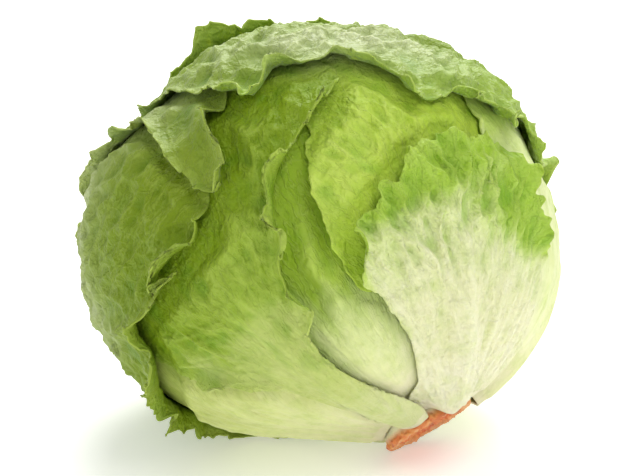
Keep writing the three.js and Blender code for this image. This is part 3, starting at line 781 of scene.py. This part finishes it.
def heart_piece(material):
    """The folded heart, a closed ball with a pocket for the core."""
    rings, spokes = 150, 300
    pocket = 180 - STEM_ANGLE - STEM_GAP
    polar = np.repeat(np.arange(1, rings + 1) * pocket / rings, spokes)
    turn = np.tile(np.arange(spokes) * 360 / spokes, rings)
    x = direction(polar, turn)
    layers = sum(o.cover(x, HEART_DRAPE_START, HEART_DRAPE_SPREAD) for o in OUTLINES)
    fold = (turn / 360 * 5 + polar / 150) % 1
    edge = smooth(fold, 0, 0.75) * (1 - smooth(fold, 0.8, 1))
    ends = smooth(np.sin(np.radians(polar)), 0.1, 0.5)
    rough = 0.5 * np.abs(Noise(77)(x * 9, 3))
    depth = LAYER_STEP * layers + HEART_DEPTH + 2 * (1 - edge * ends) + rough
    radius = above_surface(x, body_radius(x) - depth, depth)
    top = np.array([[0, radius[:spokes].mean(), 0]])
    hole = direction(np.full(spokes, pocket), turn[:spokes]) * HEART_POCKET
    bottom = np.array([[0, -HEART_POCKET, 0]])
    points = np.concatenate([top, x * radius[:, None], hole, bottom])
    i = np.arange(spokes)
    j = (i + 1) % spokes
    faces = [np.stack([0 * i, 1 + i, 1 + j], 1)]
    for r in range(rings):
        faces.append(stitch(1 + r * spokes, spokes, 1 + (r + 1) * spokes, spokes))
    last = 1 + rings * spokes
    faces.append(np.stack([last + i, 0 * i + last + spokes, last + j], 1))
    way = unit(points)
    stemward = 180 - np.degrees(np.arccos(np.clip(way[:, 1], -1, 1)))
    turns = np.degrees(np.arctan2(way[:, 0], way[:, 2]))
    flow = np.stack([turns * 0.8, stemward * 1.3, 0 * turns], -1)
    values = {"stemward": stemward / 180, "vein": 0 * turns, "edge": 0 * turns,
              "flow": flow * MM, "crest": 0.5 + 0 * turns, "painted_sheen": 0 * turns}
    return make_piece("heart_leaves", points, np.concatenate(faces), values, material,
                      "heart")


def stem_piece(material):
    """The core's cone and the butt with its torn, dried cut face."""
    slope = math.tan(math.radians(STEM_ANGLE))
    side = [(36.2 * slope * 0.5, 36.4), (41 * slope, 41.0)]
    side += [(h * slope, h) for h in np.linspace(44, 64, 9)]
    side += [(h * slope, h) for h in np.linspace(64.6, 71.6, 14)]
    side += [(STEM_RADIUS - 0.2 - 0.5 * q * q, 72.0 + 1.9 * q) for q in np.linspace(0, 1, 7)]
    side += [(STEM_RADIUS * (1 - q) * 0.95 + 0.1 * q, 73.9 - 0.9 * smooth(q, 0, 0.25))
             for q in np.linspace(0.04, 0.99, 34)]
    spokes = 220
    turn = np.tile(np.arange(spokes) * 2 * math.pi / spokes, len(side))
    radius = np.repeat([s[0] for s in side], spokes)
    height = np.repeat([s[1] for s in side], spokes)
    spot = np.stack([radius * np.sin(turn), -height, radius * np.cos(turn)], -1)
    cut = smooth(height, 69.5, 72.5)
    lumps = Noise(31)(spot / 5.0, 3)
    grit = Noise(32)(spot / 1.5, 3)
    radial = unit(spot * np.array([1, 0, 1]))
    spot = spot + radial * (cut * (0.9 * lumps + 0.35 * grit) * smooth(radius, 4, 13))[:, None]
    face = smooth(height, 72.6, 73.2) * smooth(STEM_RADIUS - radius, 0.1, 2.0)
    pith = smooth(radius, 9.5, 5.0)
    spot[:, 1] += face * (0.8 * lumps + 0.5 * grit + 0.7 * pith) + cut * 0.35 * grit
    spot[:, 1] = np.maximum(spot[:, 1], -STEM_REACH - 0.9)
    points = np.concatenate([[[0, -CORE_TIP, 0]], spot, [[0, spot[-spokes:, 1].mean(), 0]]])
    i = np.arange(spokes)
    j = (i + 1) % spokes
    faces = [np.stack([0 * i, 1 + j, 1 + i], 1)]
    for r in range(len(side) - 1):
        faces.append(stitch(1 + r * spokes, spokes, 1 + (r + 1) * spokes, spokes)[:, [0, 2, 1]])
    last = 1 + (len(side) - 1) * spokes
    faces.append(np.stack([last + i, last + j, 0 * i + last + spokes], 1))
    both = np.concatenate(faces)[:, [0, 2, 1]]
    rim = face * smooth(radius, 10.5, 14.5)
    values = {"cut": (cut, 1.0), "rim": (rim, 0.0), "pith": (pith * face, 1.0)}
    values = {key: np.concatenate([[v[0]], v, [end]]) for key, (v, end) in values.items()}
    return make_piece("stem_butt", points, both, values, material, "stem")


class Nodes:
    """A short way to lay out a material's nodes."""

    def __init__(self, name):
        self.material = bpy.data.materials.new(name)
        self.material.use_nodes = True
        self.tree = self.material.node_tree
        self.shader = self.tree.nodes["Principled BSDF"]

    def add(self, kind, inputs=None, **settings):
        node = self.tree.nodes.new("ShaderNode" + kind)
        for key, value in settings.items():
            setattr(node, key, value)
        for key, value in (inputs or {}).items():
            self.set(node.inputs[key], value)
        return node

    def set(self, socket, value):
        if isinstance(value, bpy.types.NodeSocket):
            self.tree.links.new(value, socket)
        else:
            socket.default_value = value

    def look(self, settings):
        """Sets the shader's inputs, each to a value or to another node's output."""
        for key, value in settings.items():
            self.set(self.shader.inputs[key], value)

    def rough(self, ridges, distance):
        bump = self.add("Bump", {"Strength": 0.8, "Distance": distance, "Height": ridges})
        self.look({"Normal": bump.outputs[0]})

    def attribute(self, name, kind="Fac"):
        return self.add("Attribute", attribute_name=name).outputs[kind]

    def math(self, operation, a, b=0.0, c=0.0, clamp=False):
        node = self.add("Math", operation=operation, use_clamp=clamp)
        for socket, value in zip(node.inputs, (a, b, c)):
            self.set(socket, value)
        return node.outputs[0]

    def times(self, a, b, clamp=False):
        return self.math("MULTIPLY", a, b, clamp=clamp)

    def scaled(self, a, by, plus):
        return self.math("MULTIPLY_ADD", a, by, plus)

    def range(self, value, low, high, to_low=0.0, to_high=1.0, kind="SMOOTHSTEP"):
        return self.add("MapRange", {0: value, 1: low, 2: high, 3: to_low, 4: to_high},
                        interpolation_type=kind).outputs[0]

    def noise(self, vector, scale, detail=3.0, rough=0.55, warp=0.0, output=0):
        return self.add("TexNoise", {"Vector": vector, "Scale": scale, "Detail": detail,
                                     "Roughness": rough, "Distortion": warp}).outputs[output]

    def ramp(self, value, stops):
        node = self.add("ValToRGB", {0: value})
        marks = node.color_ramp.elements
        while len(marks) < len(stops):
            marks.new(0.5)
        for mark, (place, colour) in zip(marks, stops):
            mark.position = place
            mark.color = (*colour, 1)
        return node.outputs[0]

    def mix(self, factor, a, b, blend="MIX"):
        node = self.add("Mix", data_type="RGBA", blend_type=blend)
        for place, value in zip((0, 6, 7), (factor, a, b)):
            self.set(node.inputs[place], (*value, 1) if isinstance(value, tuple) else value)
        return node.outputs[2]


def leaf_material(leaf, seed):
    """Cream at the stem to green at the margin, with ribs, veins and fine streaks between them."""
    n = Nodes(leaf["name"] + "_skin")
    crinkle, sheen = leaf["crinkle"], leaf["sheen"]
    here = n.add("TexCoord").outputs["Object"]
    flow = n.attribute("flow", "Vector")
    stemward, vein, edge, crest, painted_sheen = (n.attribute(key) for key in
                                          ("stemward", "vein", "edge", "crest", "painted_sheen"))
    broad = n.noise(here, 34.0 + seed % 7, 3.0, 0.5)
    mottle = n.noise(here, 150.0, 4.0, 0.6)
    shifted = n.scaled(broad, 0.14, n.math("ADD", stemward, -0.07))
    shifted = n.scaled(vein, -0.05, shifted)
    warp = n.noise(here, 160.0, 3.0, 0.5, output=1)
    bent = n.add("Mix", {0: 0.0022}, data_type="VECTOR")
    n.set(bent.inputs[4], flow)
    n.set(bent.inputs[5], warp)
    stretched = n.add("VectorMath", {0: bent.outputs[1], 1: (1.0, 0.09, 1.0)},
                      operation="MULTIPLY").outputs[0]
    streaks = n.noise(stretched, 620.0, 3.0, 0.6)
    stripes = n.noise(stretched, 210.0, 2.0, 0.5)
    shifted = n.scaled(stripes, 0.16, n.math("ADD", shifted, -0.08))
    colour = n.ramp(shifted, [(p / 180, c) for p, c in leaf["ramp"]])
    folds = n.range(n.math("ABSOLUTE", n.math("SUBTRACT", streaks, 0.5)), 0.0, 0.055, 1.0, 0.0)
    webbed = n.add("VectorMath", {0: bent.outputs[1], 1: (1.0, 0.6, 1.0)},
                   operation="MULTIPLY").outputs[0]
    cells = n.add("TexVoronoi", {"Vector": webbed, "Scale": 330.0},
                  feature="DISTANCE_TO_EDGE")
    web = n.range(cells.outputs[0], 0.0, 0.11, 1.0, 0.0)
    patchy = n.range(n.noise(here, 75.0, 2.0), 0.42, 0.62)
    green = n.range(stemward, 0.16, 0.40)
    web = n.times(n.times(web, patchy), n.times(green, leaf["net"]))
    folds = n.times(folds, n.scaled(green, 0.7, 0.3))

    fade_start, fade_end = leaf["vein_fade"]
    fading = n.range(stemward, fade_start / 180, fade_end / 180, leaf["vein_tone"], 0.12)
    pale = n.mix(fading, colour, leaf["veins"])
    colour = n.mix(n.times(web, 0.14), colour, pale)
    colour = n.mix(n.times(folds, 0.20), colour, pale)
    colour = n.mix(n.times(vein, 0.75), colour, pale)
    # Painted shade: the green parts are darkened in the hollows of the wrinkles, away from their
    # crests, where shade would fall
    painted_hollow_shade = n.times(n.range(crest, 0.05, 0.62, 1.0, 0.0), green)
    deep = n.mix(1.0, colour, (0.50, 0.70, 0.25), "MULTIPLY")
    colour = n.mix(n.times(painted_hollow_shade, 0.7 * min(1.0, crinkle)), colour, deep)
    darker = n.mix(1.0, colour, (0.78, 0.86, 0.62), "MULTIPLY")
    colour = n.mix(n.range(mottle, 0.42, 0.72, 0.0, 0.6), colour, darker)
    # Painted light: a brighter yellow-green line along each margin, where the thin edge catches the
    # light
    painted_rim_light = n.mix(0.5, colour, (0.62, 0.76, 0.18))
    colour = n.mix(n.times(edge, 0.55), colour, painted_rim_light)
    # Painted sheen: a pale grey-green on the crests of the wrinkles inside the sheen spots,
    # standing in for reflected light
    painted_sheen_share = n.times(painted_sheen, n.scaled(crest, 0.75, 0.3), clamp=True)
    colour = n.mix(painted_sheen_share, colour, (0.60, 0.66, 0.36))
    n.look({"Base Color": colour, "IOR": 1.4, "Specular IOR Level": 0.3 + sheen,
            "Roughness": n.range(mottle, 0.3, 0.7, 0.42, 0.60, "LINEAR"),
            "Sheen Weight": sheen, "Sheen Roughness": 0.4, "Subsurface Weight": 0.2,
            "Subsurface Radius": (1.0, 1.0, 0.35), "Subsurface Scale": 0.0016})

    ridges = n.scaled(folds, 0.30, n.scaled(web, 0.35, n.times(vein, 0.5)))
    ridges = n.scaled(streaks, 0.9, ridges)
    fine = n.noise(here, 480.0, 3.0, 0.6)
    ridges = n.scaled(fine, 0.7 * crinkle + 0.15, ridges)
    puffs = n.noise(here, 170.0, 2.0, 0.5, 0.8)
    ridges = n.scaled(puffs, 1.5 * crinkle, ridges)
    n.rough(ridges, 0.0010)
    return n.material


def stem_material():
    """Pale flesh that has dried orange and rusty brown where it was cut."""
    n = Nodes("stem_cut")
    here = n.add("TexCoord").outputs["Object"]
    cut, rim, pith = (n.attribute(key) for key in ("cut", "rim", "pith"))
    blots = n.noise(here, 190.0, 4.0, 0.65, 0.8)
    grit = n.noise(here, 700.0, 3.0, 0.6)
    dried = n.ramp(blots, [(0.30, (0.40, 0.06, 0.02)), (0.43, (0.71, 0.15, 0.035)),
                                      (0.55, (0.81, 0.29, 0.075)), (0.72, (0.86, 0.52, 0.20))])
    tan = n.mix(grit, (0.70, 0.42, 0.14), (0.88, 0.70, 0.40))
    colour = n.mix(n.times(rim, 0.6), dried, tan)
    colour = n.mix(n.times(pith, 0.5), colour, (0.70, 0.34, 0.14))
    colour = n.mix(cut, CREAM, colour)
    n.look({"Base Color": colour, "Subsurface Weight": 0.15,
            "Roughness": n.range(blots, 0.3, 0.7, 0.35, 0.6, "LINEAR"),
            "Subsurface Radius": (1.0, 0.5, 0.25), "Subsurface Scale": 0.0015})
    n.rough(n.scaled(grit, 0.5, blots), 0.0012)
    return n.material


for k, leaf in enumerate(LEAVES):
    leaf_piece(k, leaf_material(leaf, 10 * k))
heart_ramp = [(15, CREAM), (60, (0.70, 0.76, 0.36)), (120, (0.60, 0.70, 0.24)),
              (175, (0.50, 0.62, 0.16))]
heart_piece(leaf_material(make_leaf("heart", ramp=heart_ramp, net=0.4, crinkle=0.4), 5))
stem_piece(stem_material())

# Floor, lights and camera
scene = bpy.context.scene
floor = Nodes("floor_white")
speck = floor.noise(floor.add("TexCoord").outputs["Object"], 3.0)
floor.look({"Base Color": floor.mix(speck, (0.93, 0.93, 0.925), (0.95, 0.95, 0.945)),
            "Roughness": 0.9, "Specular IOR Level": 0.1, "Emission Color": (1.0, 1.0, 0.99, 1),
            "Emission Strength": 0.31})
sheet = bpy.data.meshes.new("floor")
sheet.from_pydata([(-9, -9, 0), (9, -9, 0), (9, 9, 0), (-9, 9, 0)], [], [(0, 1, 2, 3)])
sheet.materials.append(floor.material)
ground = bpy.data.objects.new("floor", sheet)
scene.collection.objects.link(ground)

world = bpy.data.worlds.new("studio")
world.use_nodes = True
backdrop = world.node_tree.nodes["Background"]
backdrop.inputs["Color"].default_value = (1.0, 1.0, 1.0, 1)
backdrop.inputs["Strength"].default_value = 0.66
scene.world = world

LAMPS_AIM, LAMP_SIZE = 0.06, 0.8


def softbox(name, place, power):
    """A square lamp that faces the head."""
    lamp = bpy.data.lights.new(name, "AREA")
    lamp.shape, lamp.size, lamp.energy = "SQUARE", LAMP_SIZE, power
    box = bpy.data.objects.new(name, lamp)
    spot = np.array(place, float)
    aim = unit(np.array([0, 0, LAMPS_AIM]) - spot)
    side = unit(np.cross(aim, [0.01, 0.02, 1]))
    up = np.cross(side, aim)
    box.matrix_world = Matrix([[side[i], up[i], -aim[i], spot[i]] for i in range(3)]
                              + [[0, 0, 0, 1]])
    scene.collection.objects.link(box)


softbox("key", (0.45, -0.55, 1.35), 6.0)
softbox("top", (0.1, 0.9, 1.15), 16.0)

scene.view_settings.view_transform = "Standard"
scene.view_settings.look = "None"
# The camera looks down a little at the head's centre, which is a few pixels off the picture's
pitch, away_mm = math.radians(15), 511.0
look = np.array([0, math.cos(pitch), -math.sin(pitch)])
eye = (HEAD_CENTRE - away_mm * look) * MM
lens = bpy.data.cameras.new("camera")
lens.lens, lens.sensor_width, lens.clip_start = 85.0, 36.0, 0.01
PICTURE_WIDTH, OFF_RIGHT, OFF_UP = 644, 5, -1
lens.shift_x, lens.shift_y = OFF_RIGHT / PICTURE_WIDTH, OFF_UP / PICTURE_WIDTH
camera = bpy.data.objects.new("camera", lens)
camera.location = eye
camera.rotation_euler = (math.pi / 2 - pitch, 0, 0)
scene.collection.objects.link(camera)
scene.camera = camera
